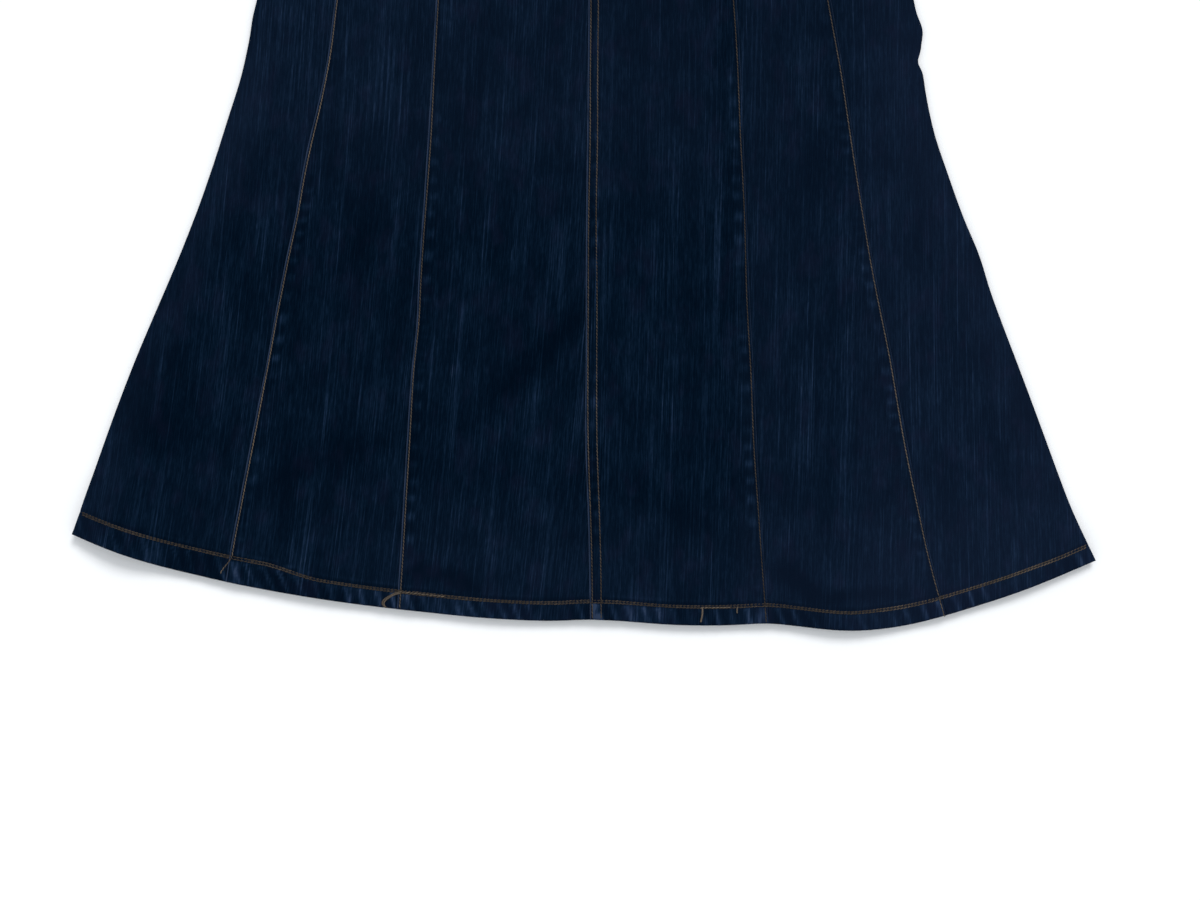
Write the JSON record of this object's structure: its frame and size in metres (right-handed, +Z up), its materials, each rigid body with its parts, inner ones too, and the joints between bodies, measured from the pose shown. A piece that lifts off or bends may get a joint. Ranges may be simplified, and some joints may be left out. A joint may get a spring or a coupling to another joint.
{
  "type": "denim skirt",
  "caption": "Gored, flared denim skirt laid flat with its front up, with copper topstitching on the seams, a turned hem, a waistband and a front fly.",
  "frame": {"origin": "centre of the skirt's outline, on the surface that it lies on", "axes": "+X across the skirt to the viewer's right, +Y from the hem to the waist, +Z up out of the surface, towards a viewer of the front"},
  "size_m": [0.7458, 0.6569, 0.0125],
  "materials": {
    "denim": "dark indigo stretch denim with a fine slubbed warp, matte",
    "zip_tape": "navy herringbone tape, matte",
    "brass": "antique brass, satin",
    "thread": "copper brown topstitch thread, slightly glossy"
  },
  "bodies": {
    "root": {"front_side_gore_left": "denim", "front_middle_gore_left": "denim", "front_centre_gore_left": "denim", "front_centre_gore_right": "denim", "front_middle_gore_right": "denim", "front_side_gore_right": "denim", "back_side_gore_left": "denim", "back_middle_gore_left": "denim", "back_centre_gore_left": "denim", "back_centre_gore_right": "denim", "back_middle_gore_right": "denim", "back_side_gore_right": "denim", "waistband_front_left": "denim", "waistband_front_right": "denim", "waistband_back": "denim", "zip_tape": "zip_tape", "zip_slider": "brass", "zip_pull": "brass", "waist_button": "brass"}
  },
  "joints": []
}
